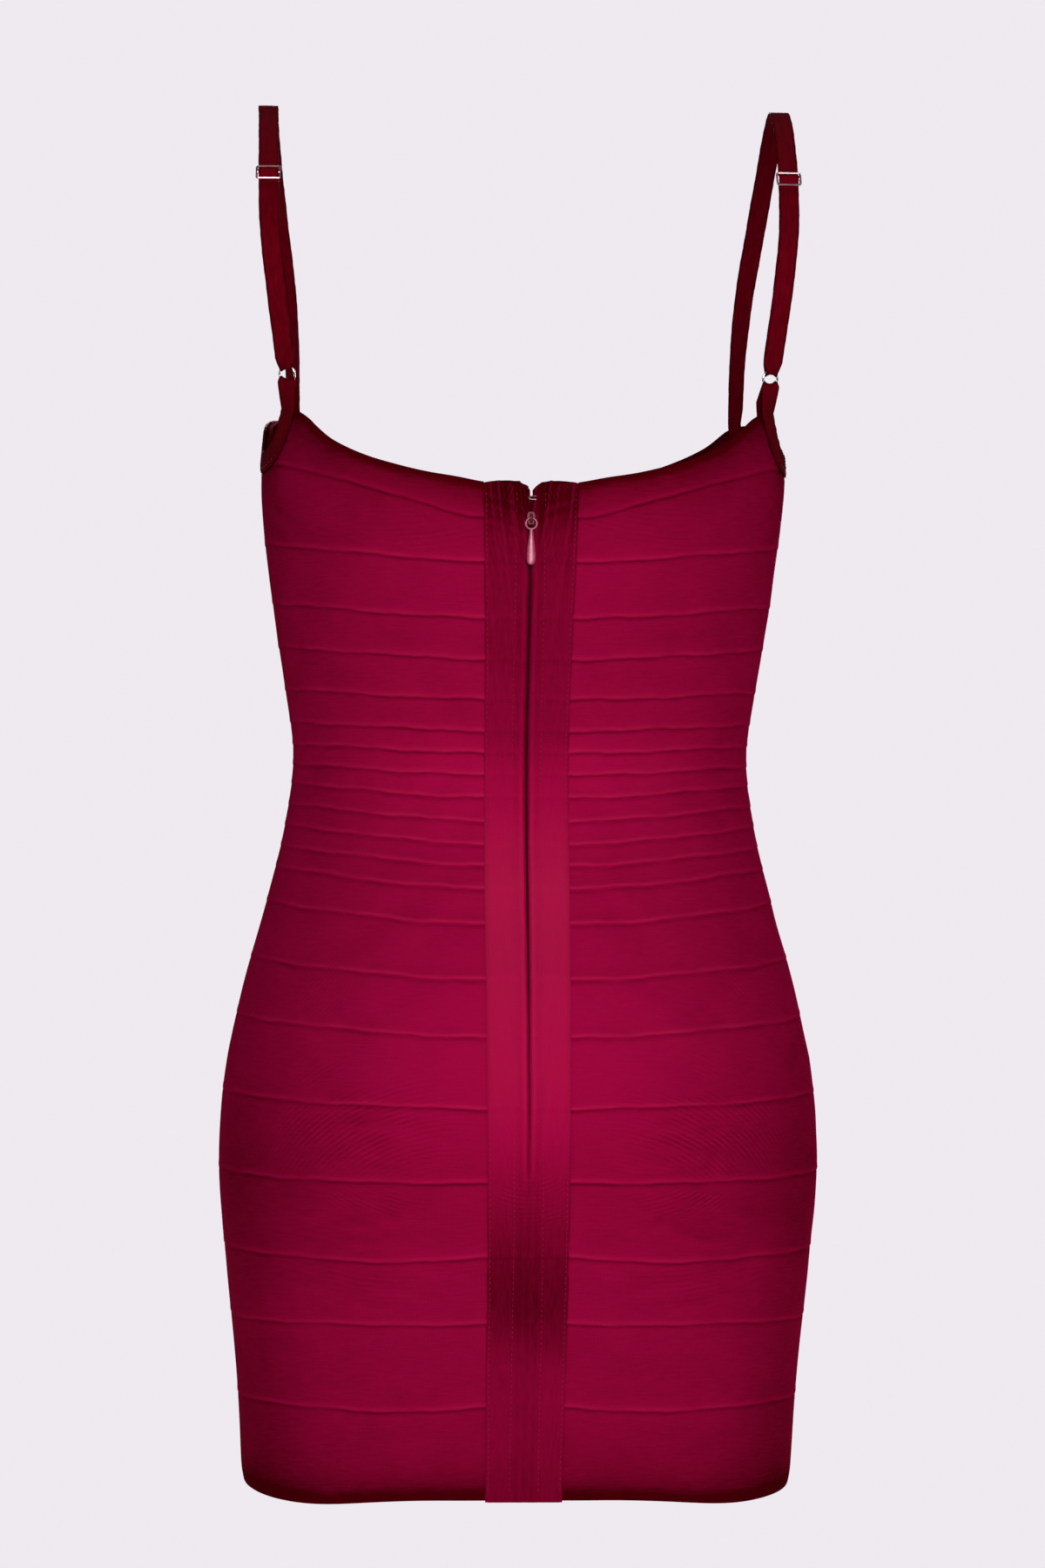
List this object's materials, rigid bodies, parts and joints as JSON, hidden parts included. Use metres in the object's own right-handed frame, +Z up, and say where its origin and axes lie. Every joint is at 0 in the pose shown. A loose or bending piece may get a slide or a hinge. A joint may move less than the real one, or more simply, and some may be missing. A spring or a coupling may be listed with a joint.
{
  "type": "bodycon dress",
  "caption": "Strappy bodycon mini dress of knitted bandage strips, in its worn hollow form, with a back zip, adjustable shoulder straps on rings and a hanging zip pull.",
  "frame": {"origin": "midway between the two shoulder straps, level with the top of the shoulders, where the wearer holds the dress up", "axes": "+Z up, the front faces -Y and the zipped back +Y, +X towards the wearer's left"},
  "size_m": [0.3332, 0.2404, 0.7669],
  "materials": {
    "knit": "wine red bandage knit, fine horizontal ribs, soft sheen",
    "placket_knit": "wine red knit strip with upright ribs, a little shinier",
    "satin_elastic": "dark wine satin elastic",
    "zip_tape": "woven tape, matt",
    "steel": "polished wire",
    "rose_metal": "rose coated metal, satin",
    "painted_metal": "glossy pinkish red paint"
  },
  "bodies": {
    "dress": {"front": "knit", "back_left": "knit", "back_right": "knit", "placket_left": "placket_knit", "placket_right": "placket_knit", "armhole_left": "satin_elastic", "armhole_right": "satin_elastic", "strap_left": "satin_elastic", "strap_right": "satin_elastic", "ring_tab_left": "satin_elastic", "ring_tab_right": "satin_elastic", "strap_slider_left": "rose_metal", "strap_slider_right": "rose_metal", "strap_ring_left": "steel", "strap_ring_right": "steel", "zip_tape": "zip_tape", "zip_slider": "painted_metal", "hook_eye": "steel"},
    "pull": {"zip_pull": "painted_metal"}
  },
  "joints": [
    {"name": "zip_pull_hinge", "type": "hinge", "parent": "dress", "child": "pull", "pos_m": [0, 0.09526, -0.2315], "axis": [1, 0, 0], "range_deg": [-6, 170]}
  ]
}
